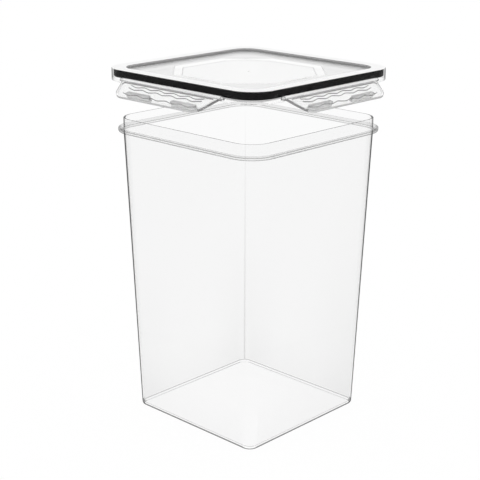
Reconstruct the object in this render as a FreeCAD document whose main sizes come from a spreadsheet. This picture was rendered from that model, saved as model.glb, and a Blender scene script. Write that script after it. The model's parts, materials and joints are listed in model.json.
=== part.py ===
"""A clear square food canister with a lift-off lid, a seal and four locking flaps.

Millimetres, +Z up. The origin is the middle of the base, on the surface that the canister stands on.
The lid hovers above the neck, as when it has just been lifted off, with its four flaps swung open.
The lid, the seal and the flaps are drawn about the sealing plane, where the neck's edge meets the seal.
"""
import FreeCAD
import Part
import Sketcher

import math
import os

from FreeCAD import Vector

# Driving dimensions of the tub, the lid, the seal and the flaps, each written once.
DRIVING = {
    # Tub
    "body_height": 284.5,
    "base_width": 150.0,
    "neck_width": 173.6,
    "base_corner": 9.8,
    "body_wall": 2.0,
    "floor_thickness": 2.6,
    "foot_round": 3.2,
    "neck_bevel": 0.5,
    # Collar around the neck, with a lip turned up at its edge
    "collar_drop": 13.0,
    "collar_reach": 4.8,
    "collar_thickness": 1.8,
    "collar_bevel": 1.0,
    "lip_height": 4.2,
    "lip_thickness": 1.5,
    "lip_bevel": 0.4,
    # Lid
    "lid_overhang": 7.7,
    "lid_corner": 25.0,
    "lid_hover": 39.5,
    "top_thickness": 1.4,
    "skirt_wall": 2.0,
    "skirt_depth": 5.1,
    "skirt_bevel": 0.4,
    "plug_clearance": 0.6,
    "plug_wall": 1.4,
    "rim_bevel": 0.7,
    "panel_drop": 3.2,
    "panel_thickness": 1.8,
    "dish_width": 130.0,
    "dish_side": 61.0,
    "dish_slope": 8.0,
    "dish_depth": 1.2,
    "gate_radius": 1.3,
    "gate_height": 0.4,
    # Seal
    "seal_thickness": 4.5,
    "seal_leg": 1.5,
    "seal_leg_width": 3.2,
    "seal_clearance": 0.1,
    "seal_gap": 0.2,
    # Hinges
    "hinge_drop": 7.6,
    "hinge_clearance": 0.4,
    "barrel_radius": 2.0,
    "pin_radius": 1.2,
    "pin_clearance": 0.05,
    "pin_reach": 2.4,
    "ear_thickness": 3.2,
    "ear_radius": 2.6,
    "ear_gap": 0.4,
    # Flaps
    "flap_width": 122.0,
    "flap_length": 22.0,
    "flap_taper": 10.5,
    "flap_thickness": 2.4,
    "flap_corner": 12.0,
    "border_width": 2.2,
    "border_height": 1.0,
    "bead_length": 30.0,
    "bead_width": 3.8,
    "bead_spacing": 56.0,
    "bead_grip": 1.4,
    "bead_clearance": 0.3,
    "bead_cut": 1.4,
    "bead_bevel": 1.0,
    # Two zigzag ribs across each flap's outer face, for the fingers
    "zigzag_top": 6.3,
    "zigzag_spacing": 8.4,
    "zigzag_width": 1.0,
    "zigzag_step": 9.0,
    "zigzag_rise": 2.2,
    "zigzag_height": 0.5,
}

# Degrees that each flap is swung out from hanging shut.
ANGLES = {"flap_open_angle": 62.0}

# Sizes that follow from the driving ones, as the sheet's own formulas.
DERIVED = {
    "collar_level": "=body_height - collar_drop",
    "neck_corner": "=base_corner + (neck_width - base_width) / 2",
    "collar_width": "=neck_width + 2 * collar_reach",
    "collar_corner": "=neck_corner + collar_reach",
    "mouth_width": "=neck_width - 2 * body_wall",
    "mouth_corner": "=neck_corner - body_wall",
    "floor_width": "=base_width + (neck_width - base_width) * floor_thickness / collar_level - 2 * body_wall",
    "floor_corner": "=mouth_corner - (mouth_width - floor_width) / 2",
    "gutter_width": "=collar_width - 2 * lip_thickness",
    "gutter_corner": "=collar_corner - lip_thickness",
    "gutter_depth": "=lip_height - collar_thickness",
    "lip_top": "=collar_level + lip_height",
    "lid_level": "=body_height + seal_gap + lid_hover",
    "rim_top": "=seal_thickness + top_thickness",
    "lid_height": "=rim_top + skirt_depth",
    "lid_width": "=neck_width + 2 * lid_overhang",
    "channel_width": "=lid_width - 2 * skirt_wall",
    "channel_corner": "=lid_corner - skirt_wall",
    "channel_depth": "=skirt_depth + seal_thickness",
    "plug_width": "=mouth_width - 2 * plug_clearance",
    "plug_corner": "=mouth_corner - plug_clearance",
    "panel_width": "=plug_width - 2 * plug_wall",
    "panel_corner": "=plug_corner - plug_wall",
    "panel_top": "=rim_top - panel_drop",
    "panel_bottom": "=panel_top - panel_thickness",
    "hollow_depth": "=skirt_depth + panel_bottom",
    "dish_half": "=dish_width / 2",
    "dish_side_half": "=dish_side / 2",
    "dish_floor_half": "=dish_half - dish_slope",
    "dish_floor_side_half": "=dish_side_half - dish_slope * (sqrt(2) - 1)",
    "dish_top": "=panel_top - dish_depth",
    "dish_bottom": "=panel_bottom - dish_depth",
    "seal_width": "=channel_width - 2 * seal_clearance",
    "seal_corner": "=channel_corner - seal_clearance",
    "seal_bore": "=plug_width + 2 * seal_clearance",
    "seal_bore_corner": "=plug_corner + seal_clearance",
    "leg_bore": "=seal_width - 2 * seal_leg_width",
    "leg_bore_corner": "=seal_corner - seal_leg_width",
    "hinge_out": "=lid_width / 2 + hinge_clearance + barrel_radius",
    "hinge_level": "=rim_top - hinge_drop",
    "bore_radius": "=pin_radius + pin_clearance",
    "ear_inside": "=flap_width / 2 + ear_gap",
    "ear_outside": "=ear_inside + ear_thickness",
    "ear_span": "=hinge_clearance + barrel_radius + skirt_wall / 2",
    "bore_span": "=2 * ear_outside",
    "pin_span": "=2 * (ear_inside + pin_reach)",
    "flap_half": "=flap_width / 2",
    "flap_end_half": "=flap_half - flap_taper",
    "flap_inside": "=flap_thickness - border_height",
    "border_top": "=barrel_radius + border_width / 2",
    "border_bottom": "=flap_length - border_width",
    "border_lean": "=flap_taper / flap_length",
    "border_top_half": "=flap_half - border_top * border_lean - border_width * sqrt(1 + border_lean ^ 2)",
    "border_end_half": "=border_top_half - (border_bottom - border_top) * border_lean",
    "border_corner": "=flap_corner - border_width",
    "bead_top": "=hinge_level + seal_gap + collar_drop + bead_clearance",
    "bead_middle": "=bead_top + bead_width / 2",
    "bead_height": "=hinge_out - flap_inside - collar_width / 2 + bead_grip",
    "bead_offset": "=bead_spacing / 2",
    "bead_half_length": "=bead_length / 2",
    "bead_half_width": "=bead_width / 2",
    "bead_long_flat": "=bead_half_length - bead_cut",
    "bead_short_flat": "=bead_half_width - bead_cut",
    "zigzag_low": "=zigzag_top + zigzag_spacing",
}

# Each flap's side of the lid, as a turn about +Z from the side that faces -Y.
FLAP_SIDES = {"front": 0, "right": 90, "back": 180, "left": 270}

# Steps along a zigzag rib on a flap, an even count so that both ends are alike.
ZIGZAG_STEPS = 10

# How far a point may lie from an edge that is looked for.
NEAR = 0.01

doc = FreeCAD.newDocument("food_canister")


def make_sheet():
    """Puts the driving dimensions and the formulas in one sheet."""
    sheet = doc.addObject("Spreadsheet::Sheet", "Sizes")
    rows = {**DRIVING, **ANGLES, **DERIVED}
    for row, (alias, value) in enumerate(rows.items(), start=1):
        sheet.set(f"A{row}", alias)
        sheet.set(f"B{row}", str(value))
        sheet.setAlias(f"B{row}", alias)
    doc.recompute()
    return sheet


SIZES = make_sheet()


def size(alias):
    """The number in one named cell."""
    return float(SIZES.get(alias))


def new_body(label):
    """An empty body with its own label."""
    body = doc.addObject("PartDesign::Body", label)
    body.Label = label
    return body


def origin_feature(body, role):
    """One of a body's own origin planes or axes."""
    return next(item for item in body.Origin.OriginFeatures if item.Role == role)


def new_sketch(body, name, role="XY_Plane", **offsets):
    """A sketch on an origin plane, moved along the sketch's own x, y and z by formulas."""
    sketch = body.newObject("Sketcher::SketchObject", name)
    sketch.AttachmentSupport = (origin_feature(body, role), [""])
    sketch.MapMode = "FlatFace"
    for axis, formula in offsets.items():
        sketch.setExpression(f"AttachmentOffset.Base.{axis}", formula)
    return sketch


def bind(sketch, name, alias, *constraint):
    """Adds a named constraint whose value is tied to a cell."""
    number = sketch.addConstraint(Sketcher.Constraint(*constraint, size(alias)))
    sketch.renameConstraint(number, name)
    sketch.setExpression(f"Constraints.{name}", f"Sizes.{alias}")


def add_line(sketch, start, end):
    """Draws a line and returns its number."""
    return sketch.addGeometry(Part.LineSegment(Vector(*start), Vector(*end)))


def add_arc(sketch, centre, radius, start, sweep):
    """Draws an arc from its start angle through its sweep, in degrees, and returns its number."""
    circle = Part.Circle(Vector(*centre), Vector(0, 0, 1), radius)
    return sketch.addGeometry(Part.ArcOfCircle(circle, math.radians(start), math.radians(start + sweep)))


def rounded_square(sketch, width, corner):
    """Draws a square with rounded corners, centred on the sketch's origin."""
    half = size(width) / 2
    flat = half - size(corner)
    ends = [(-flat, -half), (flat, -half), (half, -flat), (half, flat),
            (flat, half), (-flat, half), (-half, flat), (-half, -flat)]
    lines = [add_line(sketch, ends[2 * turn], ends[2 * turn + 1]) for turn in range(4)]
    centres = [(flat, -flat), (flat, flat), (-flat, flat), (-flat, -flat)]
    arcs = [add_arc(sketch, centre, size(corner), 90 * turn - 90, 90) for turn, centre in enumerate(centres)]
    for turn in range(4):
        sketch.addConstraint(Sketcher.Constraint("Tangent", lines[turn], 2, arcs[turn], 1))
        sketch.addConstraint(Sketcher.Constraint("Tangent", arcs[turn], 2, lines[(turn + 1) % 4], 1))
        sketch.addConstraint(Sketcher.Constraint(("Horizontal", "Vertical")[turn % 2], lines[turn]))
    for arc in arcs[1:]:
        sketch.addConstraint(Sketcher.Constraint("Equal", arcs[0], arc))
    sketch.addConstraint(Sketcher.Constraint("Symmetric", lines[0], 1, lines[2], 1, -1, 1))
    bind(sketch, f"{width}_across", width, "DistanceX", lines[3], 1, lines[1], 1)
    bind(sketch, f"{width}_along", width, "DistanceY", lines[0], 1, lines[2], 1)
    bind(sketch, f"{width}_corner", corner, "Radius", arcs[0])


def outline(sketch, corners):
    """Draws straight edges through corners given as signed cell names, such as +flap_half."""
    signs = {"+": 1, "-": -1}
    places = [[signs[place[0]] * size(place[1:]) for place in corner] for corner in corners]
    lines = [add_line(sketch, start, end) for start, end in zip(places, places[1:] + places[:1])]
    for number, line in enumerate(lines):
        following = lines[(number + 1) % len(lines)]
        sketch.addConstraint(Sketcher.Constraint("Coincident", line, 2, following, 1))
        for kind, place in zip(("DistanceX", "DistanceY"), corners[number]):
            ends = (-1, 1, line, 1) if place[0] == "+" else (line, 1, -1, 1)
            bind(sketch, f"corner_{number}_{kind[-1].lower()}", place[1:], kind, *ends)


def octagon(sketch, half_x, half_y, flat_x, flat_y):
    """Draws an oblong with its corners cut off, centred on the sketch's origin."""
    swap = {"+": "-", "-": "+"}
    half = [("+" + half_x, "-" + flat_y), ("+" + half_x, "+" + flat_y),
            ("+" + flat_x, "+" + half_y), ("-" + flat_x, "+" + half_y)]
    opposite = [tuple(swap[place[0]] + place[1:] for place in corner) for corner in half]
    outline(sketch, half + opposite)


def circle(sketch, radius):
    """Draws a circle about the sketch's origin."""
    number = sketch.addGeometry(Part.Circle(Vector(0, 0, 0), Vector(0, 0, 1), size(radius)))
    sketch.addConstraint(Sketcher.Constraint("Coincident", number, 3, -1, 1))
    bind(sketch, "round", radius, "Radius", number)


def zigzag_edge(sketch, level):
    """Draws a zigzag of equal steps along +x from a level, and returns its lines."""
    step = size("zigzag_step")
    heights = [level - size("zigzag_rise") * (number % 2) for number in range(ZIGZAG_STEPS + 1)]
    points = [(step * number, height) for number, height in enumerate(heights)]
    lines = [add_line(sketch, start, end) for start, end in zip(points, points[1:])]
    for line, following in zip(lines, lines[1:]):
        sketch.addConstraint(Sketcher.Constraint("Coincident", line, 2, following, 1))
        sketch.addConstraint(Sketcher.Constraint("Equal", line, following))
        sketch.addConstraint(Sketcher.Constraint("Horizontal", line, 1, following, 2))
    return lines


def zigzag_rib(sketch):
    """Draws a rib between two zigzags, from the sketch's origin along +x and down."""
    upper = zigzag_edge(sketch, 0.0)
    lower = zigzag_edge(sketch, -size("zigzag_width"))
    sketch.addConstraint(Sketcher.Constraint("Coincident", upper[0], 1, -1, 1))
    for name, edge in (("upper", upper), ("lower", lower)):
        bind(sketch, f"{name}_step", "zigzag_step", "DistanceX", edge[0], 1, edge[0], 2)
        bind(sketch, f"{name}_rise", "zigzag_rise", "DistanceY", edge[0], 2, edge[0], 1)
    for number, end in ((0, 1), (-1, 2)):
        low = sketch.getPoint(lower[number], end)
        high = sketch.getPoint(upper[number], end)
        side = add_line(sketch, (low.x, low.y), (high.x, high.y))
        sketch.addConstraint(Sketcher.Constraint("Coincident", side, 1, lower[number], end))
        sketch.addConstraint(Sketcher.Constraint("Coincident", side, 2, upper[number], end))
    sketch.addConstraint(Sketcher.Constraint("Vertical", lower[0], 1, upper[0], 1))
    bind(sketch, "width", "zigzag_width", "DistanceY", lower[0], 1, upper[0], 1)


def ear_profile(sketch, span, radius):
    """Draws an ear that runs from its root, at +x, to a round end about the sketch's origin."""
    reach = size(span)
    high = size(radius)
    root = add_line(sketch, (reach, -high), (reach, high))
    upper = add_line(sketch, (reach, high), (0, high))
    end = add_arc(sketch, (0, 0), high, 90, 180)
    lower = add_line(sketch, (0, -high), (reach, -high))
    sketch.addConstraint(Sketcher.Constraint("Coincident", root, 2, upper, 1))
    sketch.addConstraint(Sketcher.Constraint("Tangent", upper, 2, end, 1))
    sketch.addConstraint(Sketcher.Constraint("Tangent", end, 2, lower, 1))
    sketch.addConstraint(Sketcher.Constraint("Coincident", lower, 2, root, 1))
    sketch.addConstraint(Sketcher.Constraint("Coincident", end, 3, -1, 1))
    sketch.addConstraint(Sketcher.Constraint("Vertical", root))
    sketch.addConstraint(Sketcher.Constraint("Horizontal", upper))
    sketch.addConstraint(Sketcher.Constraint("Horizontal", lower))
    bind(sketch, "end_round", radius, "Radius", end)
    bind(sketch, "reach", span, "DistanceX", -1, 1, root, 1)


def extrude(body, kind, name, sketch, length, reverse=False, middle=False):
    """Pads or pockets a sketch by a length from the sheet, and checks that it changed the solid."""
    before = body.Tip.Shape.Volume if body.Tip else 0.0
    feature = body.newObject(f"PartDesign::{kind}", name)
    feature.Profile = sketch
    feature.setExpression("Length", f"Sizes.{length}")
    feature.Reversed = reverse
    feature.Midplane = middle
    doc.recompute()
    if abs(feature.Shape.Volume - before) < NEAR:
        raise RuntimeError(f"{body.Label}: {name} changed nothing")
    return feature


def loft(body, kind, name, lower, upper):
    """Joins or cuts a straight-sided loft between two sketches."""
    feature = body.newObject(f"PartDesign::{kind}", name)
    feature.Profile = lower
    feature.Sections = [upper]
    feature.Ruled = True
    doc.recompute()
    return feature


def dress(body, kind, name, alias, *tests):
    """Rounds or bevels the edges of the body's last feature that lie wholly within one of the tests."""
    base = body.Tip
    chosen = []
    for number, edge in enumerate(base.Shape.Edges, start=1):
        first, last = edge.ParameterRange
        points = [edge.valueAt(first + (last - first) * share) for share in (0.0, 0.5, 1.0)]
        if any(all(test(point) for point in points) for test in tests):
            chosen.append(f"Edge{number}")
    if not chosen:
        raise RuntimeError(f"{body.Label}: {name} has no edges")
    feature = body.newObject(f"PartDesign::{kind}", name)
    feature.Base = (base, chosen)
    feature.setExpression({"Fillet": "Radius", "Chamfer": "Size"}[kind], f"Sizes.{alias}")
    doc.recompute()
    return feature


def on_square(level, width, corner):
    """A test for points on a level rounded square."""
    half = size(width) / 2
    radius = size(corner)

    def test(point):
        over_x = abs(point.x) - half + radius
        over_y = abs(point.y) - half + radius
        outside = math.hypot(max(over_x, 0.0), max(over_y, 0.0)) + min(max(over_x, over_y), 0.0)
        return abs(point.z - level) < NEAR and abs(outside - radius) < NEAR

    return test


def along_y(half, depth):
    """A test for points on the two lines along Y at a half width and a depth below the hinge axis."""
    def test(point):
        return abs(abs(point.x) - half) < NEAR and abs(point.z + depth) < NEAR

    return test


def make_canister():
    """The tub: tapered walls, a straight neck, a collar with a turned-up lip, and a flat base."""
    body = new_body("canister")
    base = new_sketch(body, "base_outline")
    rounded_square(base, "base_width", "base_corner")
    shoulder = new_sketch(body, "shoulder_outline", z="Sizes.collar_level")
    rounded_square(shoulder, "neck_width", "neck_corner")
    loft(body, "AdditiveLoft", "walls", base, shoulder)
    neck = new_sketch(body, "neck_outline", z="Sizes.collar_level")
    rounded_square(neck, "neck_width", "neck_corner")
    extrude(body, "Pad", "neck", neck, "collar_drop")
    collar = new_sketch(body, "collar_outline", z="Sizes.collar_level")
    rounded_square(collar, "collar_width", "collar_corner")
    extrude(body, "Pad", "collar", collar, "lip_height")
    gutter = new_sketch(body, "gutter_outline", z="Sizes.lip_top")
    rounded_square(gutter, "gutter_width", "gutter_corner")
    rounded_square(gutter, "neck_width", "neck_corner")
    extrude(body, "Pocket", "gutter", gutter, "gutter_depth")
    floor = new_sketch(body, "floor_outline", z="Sizes.floor_thickness")
    rounded_square(floor, "floor_width", "floor_corner")
    throat = new_sketch(body, "throat_outline", z="Sizes.collar_level")
    rounded_square(throat, "mouth_width", "mouth_corner")
    loft(body, "SubtractiveLoft", "inside", floor, throat)
    mouth = new_sketch(body, "mouth_outline", z="Sizes.body_height")
    rounded_square(mouth, "mouth_width", "mouth_corner")
    extrude(body, "Pocket", "mouth", mouth, "collar_drop")
    dress(body, "Fillet", "foot_edge", "foot_round", on_square(0.0, "base_width", "base_corner"))
    dress(body, "Chamfer", "neck_edges", "neck_bevel",
          on_square(size("body_height"), "neck_width", "neck_corner"),
          on_square(size("body_height"), "mouth_width", "mouth_corner"))
    dress(body, "Chamfer", "collar_edge", "collar_bevel",
          on_square(size("collar_level"), "collar_width", "collar_corner"))
    dress(body, "Chamfer", "lip_edge", "lip_bevel",
          on_square(size("lip_top"), "collar_width", "collar_corner"))
    return body


def add_hinge_ears(body):
    """Eight ears, two on each side of the skirt, bored for the flaps' pins."""
    at_axis = {"x": "-Sizes.hinge_out", "y": "Sizes.hinge_level"}
    ears = []
    for name, start in (("ear_right", "Sizes.ear_inside"), ("ear_left", "-Sizes.ear_outside")):
        profile = new_sketch(body, f"{name}_profile", "YZ_Plane", z=start, **at_axis)
        ear_profile(profile, "ear_span", "ear_radius")
        ears.append(extrude(body, "Pad", name, profile, "ear_thickness"))
    bore = new_sketch(body, "pin_bore_outline", "YZ_Plane", **at_axis)
    circle(bore, "bore_radius")
    ears.append(extrude(body, "Pocket", "pin_bores", bore, "bore_span", middle=True))
    pattern = body.newObject("PartDesign::PolarPattern", "ears_on_four_sides")
    pattern.Originals = ears
    pattern.Axis = (origin_feature(body, "Z_Axis"), [""])
    pattern.Angle = 360
    pattern.Occurrences = len(FLAP_SIDES)
    body.Tip = pattern
    doc.recompute()


def make_lid():
    """The lid: a rim over the seal's channel, a plug wall, a sunk panel with a dish, and the hinge ears."""
    body = new_body("lid_cover")
    block = new_sketch(body, "skirt_outline", z="-Sizes.skirt_depth")
    rounded_square(block, "lid_width", "lid_corner")
    extrude(body, "Pad", "rim_block", block, "lid_height")
    recess = new_sketch(body, "recess_outline", z="Sizes.rim_top")
    rounded_square(recess, "panel_width", "panel_corner")
    extrude(body, "Pocket", "recess", recess, "panel_drop")
    hollow = new_sketch(body, "hollow_outline", z="-Sizes.skirt_depth")
    rounded_square(hollow, "panel_width", "panel_corner")
    extrude(body, "Pocket", "hollow", hollow, "hollow_depth", reverse=True)
    channel = new_sketch(body, "channel_outline", z="-Sizes.skirt_depth")
    rounded_square(channel, "channel_width", "channel_corner")
    rounded_square(channel, "plug_width", "plug_corner")
    extrude(body, "Pocket", "channel", channel, "channel_depth", reverse=True)
    for side, kind in (("bottom", "AdditiveLoft"), ("top", "SubtractiveLoft")):
        wide = new_sketch(body, f"dish_edge_{side}", z=f"Sizes.panel_{side}")
        octagon(wide, "dish_half", "dish_half", "dish_side_half", "dish_side_half")
        narrow = new_sketch(body, f"dish_floor_{side}", z=f"Sizes.dish_{side}")
        octagon(narrow, "dish_floor_half", "dish_floor_half", "dish_floor_side_half", "dish_floor_side_half")
        loft(body, kind, f"dish_{side}", wide, narrow)
    gate = new_sketch(body, "gate_outline", z="Sizes.dish_top")
    circle(gate, "gate_radius")
    extrude(body, "Pad", "gate_mark", gate, "gate_height")
    skirt_end = -size("skirt_depth")
    dress(body, "Chamfer", "rim_edge", "rim_bevel", on_square(size("rim_top"), "lid_width", "lid_corner"))
    dress(body, "Chamfer", "skirt_edges", "skirt_bevel",
          on_square(skirt_end, "lid_width", "lid_corner"),
          on_square(skirt_end, "plug_width", "plug_corner"))
    add_hinge_ears(body)
    body.setExpression("Placement.Base.z", "Sizes.lid_level")
    return body


def make_gasket():
    """The seal: a ring over the neck's edge, with a leg down its outer side."""
    body = new_body("gasket")
    land = new_sketch(body, "land_outline")
    rounded_square(land, "seal_width", "seal_corner")
    rounded_square(land, "seal_bore", "seal_bore_corner")
    extrude(body, "Pad", "land", land, "seal_thickness")
    leg = new_sketch(body, "leg_outline")
    rounded_square(leg, "seal_width", "seal_corner")
    rounded_square(leg, "leg_bore", "leg_bore_corner")
    extrude(body, "Pad", "leg", leg, "seal_leg", reverse=True)
    body.setExpression("Placement.Base.z", "Sizes.lid_level")
    return body


def make_flap(side, turn):
    """A locking flap, drawn hanging shut below its hinge axis, then swung open and set on its side."""
    body = new_body(f"flap_{side}")
    plate = new_sketch(body, f"plate_outline_{side}", "XZ_Plane", z="-Sizes.flap_inside")
    outline(plate, [("-flap_half", "+pin_radius"), ("-flap_end_half", "-flap_length"),
                    ("+flap_end_half", "-flap_length"), ("+flap_half", "+pin_radius")])
    extrude(body, "Pad", f"plate_{side}", plate, "flap_thickness")
    dress(body, "Fillet", f"free_corners_{side}", "flap_corner",
          along_y(size("flap_end_half"), size("flap_length")))
    sunk = new_sketch(body, f"border_outline_{side}", "XZ_Plane", z="Sizes.border_height")
    outline(sunk, [("-border_top_half", "-border_top"), ("-border_end_half", "-border_bottom"),
                   ("+border_end_half", "-border_bottom"), ("+border_top_half", "-border_top")])
    extrude(body, "Pocket", f"border_{side}", sunk, "border_height")
    dress(body, "Fillet", f"border_corners_{side}", "border_corner",
          along_y(size("border_end_half"), size("border_bottom")))
    for name, place in (("left", "-Sizes.bead_offset"), ("right", "Sizes.bead_offset")):
        bead = new_sketch(body, f"bead_outline_{name}_{side}", "XZ_Plane", x=place, y="-Sizes.bead_middle",
                          z="-Sizes.flap_inside")
        octagon(bead, "bead_half_length", "bead_half_width", "bead_long_flat", "bead_short_flat")
        extrude(body, "Pad", f"bead_{name}_{side}", bead, "bead_height", reverse=True)
    start = f"-{ZIGZAG_STEPS / 2} * Sizes.zigzag_step"
    for name, place in (("upper", "-Sizes.zigzag_top"), ("lower", "-Sizes.zigzag_low")):
        zigzag = new_sketch(body, f"zigzag_outline_{name}_{side}", "XZ_Plane", x=start, y=place)
        zigzag_rib(zigzag)
        extrude(body, "Pad", f"zigzag_{name}_{side}", zigzag, "zigzag_height")
    tip = size("flap_inside") + size("bead_height")
    dress(body, "Chamfer", f"bead_edges_{side}", "bead_bevel", lambda point: abs(point.y - tip) < NEAR)
    shafts = (("barrel", "barrel_radius", "flap_width"), ("pins", "pin_radius", "pin_span"))
    for name, radius, length in shafts:
        section = new_sketch(body, f"{name}_section_{side}", "YZ_Plane")
        circle(section, radius)
        extrude(body, "Pad", f"{name}_{side}", section, length, middle=True)
    place = f"rotationz({turn}) * vector(0; -Sizes.hinge_out; Sizes.lid_level + Sizes.hinge_level)"
    swing = f"rotationz({turn}) * rotationx(-Sizes.flap_open_angle)"
    body.setExpression("Placement", f"placement({place}; {swing})")
    return body


def check(bodies):
    """Stops if any object failed or any sub-part isn't one valid solid."""
    doc.recompute()
    for item in doc.Objects:
        if "Invalid" in item.State or "Error" in item.State:
            raise RuntimeError(f"{item.Label} failed: {item.State}")
    for body in bodies:
        if body.Shape.isNull() or not body.Shape.isValid() or len(body.Shape.Solids) != 1:
            raise RuntimeError(f"{body.Label} is not one valid solid")


bodies = [make_canister(), make_lid(), make_gasket()]
bodies += [make_flap(side, turn) for side, turn in FLAP_SIDES.items()]
check(bodies)
os.makedirs("parts", exist_ok=True)
for body in bodies:
    body.Shape.exportStep(f"parts/{body.Label}.step")
    box = body.Shape.BoundBox
    print(f"{body.Label}: x {box.XMin:.2f}..{box.XMax:.2f}, "
          f"y {box.YMin:.2f}..{box.YMax:.2f}, z {box.ZMin:.2f}..{box.ZMax:.2f}")
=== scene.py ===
"""Dresses the food canister in clear moulded plastic, with a black seal in its lifted lid.

Sizes are millimetres until a piece is finished, whose mesh is in metres, in the frame's own place.
Levels of the lid and the seal count from the seal's underside, which the neck's edge comes up to. Those of a
flap count from its hinge.
"""

import json
import logging
import math
from dataclasses import dataclass, field
from enum import Enum, IntEnum
from typing import Any, Mapping, Sequence

import bmesh
import bpy
from bmesh.types import BMesh, BMVert
from mathutils import Matrix, Vector


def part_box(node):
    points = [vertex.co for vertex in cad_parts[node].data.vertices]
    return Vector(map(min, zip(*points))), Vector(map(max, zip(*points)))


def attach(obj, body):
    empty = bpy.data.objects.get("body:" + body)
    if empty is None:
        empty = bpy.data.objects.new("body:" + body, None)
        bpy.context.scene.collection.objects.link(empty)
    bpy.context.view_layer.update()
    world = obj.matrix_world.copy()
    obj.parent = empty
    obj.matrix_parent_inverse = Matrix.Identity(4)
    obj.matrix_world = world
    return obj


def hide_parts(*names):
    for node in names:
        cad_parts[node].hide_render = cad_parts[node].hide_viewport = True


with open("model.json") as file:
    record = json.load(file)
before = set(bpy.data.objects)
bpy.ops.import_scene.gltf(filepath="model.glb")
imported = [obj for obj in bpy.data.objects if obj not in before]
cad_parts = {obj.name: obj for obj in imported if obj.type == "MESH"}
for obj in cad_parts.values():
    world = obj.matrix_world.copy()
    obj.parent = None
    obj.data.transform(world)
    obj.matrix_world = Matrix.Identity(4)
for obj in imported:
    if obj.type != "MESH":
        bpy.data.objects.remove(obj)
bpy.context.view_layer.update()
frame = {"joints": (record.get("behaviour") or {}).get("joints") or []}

LOG = logging.getLogger("food_canister")
MM = 0.001
# How near to a surface, in millimetres, a face has to lie to count as part of it.
NEAR = 0.1
PHOTO_PIXELS = 480
SENSOR_MM = 36.0
CORNER_STEPS = 64
ARC_STEP = math.radians(15)
CREASE = math.radians(38)
WELD_MM = 1e-5
STYRENE_IOR = 1.53
SILICONE_IOR = 1.41


class Side(Enum):
    """A side of the lid, by its turn about the upright axis in degrees."""

    FRONT = 0
    RIGHT = 90
    BACK = 180
    LEFT = 270

    @property
    def label(self) -> str:
        """The side's name as the frame spells it."""
        return self.name.lower()


def linear(colour: str) -> tuple[float, float, float, float]:
    """Turns an sRGB hex colour into linear light.

    Args:
        colour: Six hex digits after a hash sign.

    Returns:
        Linear red, green, blue and an alpha of one.
    """
    shares = [int(colour[place:place + 2], 16) / 255 for place in (1, 3, 5)]
    levels = [share / 12.92 if share <= 0.04045 else ((share + 0.055) / 1.055) ** 2.4 for share in shares]
    return levels[0], levels[1], levels[2], 1.0


def add_node(tree: bpy.types.NodeTree, kind: str, inputs: Mapping[Any, Any] | None = None,
             **settings: Any) -> bpy.types.Node:
    """Adds a node with its settings, its input values and its links.

    Args:
        tree: The node tree that gets the node.
        kind: The node's type name.
        inputs: A value, or an output socket to link, for each input by name or number.
        settings: The node's own properties.

    Returns:
        The new node.
    """
    node = tree.nodes.new(kind)
    for name, value in settings.items():
        setattr(node, name, value)
    for name, value in (inputs or {}).items():
        if isinstance(value, bpy.types.NodeSocket):
            tree.links.new(value, node.inputs[name])
        else:
            node.inputs[name].default_value = value
    return node


@dataclass(frozen=True)
class Finish:
    """The finish of a surface, named for its material and for how the surface was made."""

    name: str

    def shader(self, tree: bpy.types.NodeTree, place: bpy.types.NodeSocket) -> bpy.types.Node:
        """Adds the finish's own shader.

        Args:
            tree: The material's tree.
            place: The place on the piece.

        Returns:
            The shader's node.
        """
        raise NotImplementedError

    def material(self) -> bpy.types.Material:
        """Builds the finish.

        Returns:
            A material whose patterns lie still on the piece.
        """
        material = bpy.data.materials.new(self.name)
        material.use_nodes = True
        tree = material.node_tree
        tree.nodes.clear()
        place = add_node(tree, "ShaderNodeTexCoord").outputs["Object"]
        shader = self.shader(tree, place)
        add_node(tree, "ShaderNodeOutputMaterial", {"Surface": shader.outputs[0]})
        return material


@dataclass(frozen=True)
class Shade:
    """Painted shade: a grey laid on the tub's plastic near its floor and where two walls meet; narrow, it is
    a painted reflection line.

    It fades out upwards. With a reach, it also fades out from the upright corners along the walls, and only
    light that enters the plastic shows it, so that it is seen in a far corner, from within the tub.
    """

    colour: str
    top_mm: float
    reach_mm: float = 0.0

    def over(self, tree: bpy.types.NodeTree, place: bpy.types.NodeSocket, colour: Any
             ) -> bpy.types.NodeSocket:
        """Lays the painted shade over a colour.

        Args:
            tree: The shader's tree.
            place: The place on the tub.
            colour: The colour beside the grey, or its socket.

        Returns:
            The colour with the grey.
        """
        height = add_node(tree, "ShaderNodeSeparateXYZ", {0: place}).outputs["Z"]
        amount = add_node(tree, "ShaderNodeMapRange", {
            "Value": height, "From Max": self.top_mm * MM, "To Min": 1.0, "To Max": 0.0}).outputs[0]
        if self.reach_mm:
            sides = add_node(tree, "ShaderNodeVectorMath", {0: place}, operation="ABSOLUTE").outputs[0]
            apart = add_node(tree, "ShaderNodeVectorMath", {
                0: sides, 1: (1.0, -1.0, 0.0)}, operation="DOT_PRODUCT").outputs["Value"]
            away = add_node(tree, "ShaderNodeMath", {0: apart}, operation="ABSOLUTE").outputs[0]
            line = add_node(tree, "ShaderNodeMapRange", {
                "Value": away, "From Max": self.reach_mm * MM, "To Min": 1.0, "To Max": 0.0},
                interpolation_type="SMOOTHSTEP").outputs[0]
            faded = add_node(tree, "ShaderNodeMath", {0: line, 1: amount}, operation="MULTIPLY").outputs[0]
            leaving = add_node(tree, "ShaderNodeNewGeometry").outputs["Backfacing"]
            amount = add_node(tree, "ShaderNodeMath", {
                0: faded, 1: leaving}, operation="SUBTRACT", use_clamp=True).outputs[0]
        # Painted shade: the grey is mixed over the colour, strongest low down and in the corners.
        return add_node(tree, "ShaderNodeMix", {
            0: amount, 6: colour, 7: linear(self.colour)}, data_type="RGBA").outputs[2]


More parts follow.
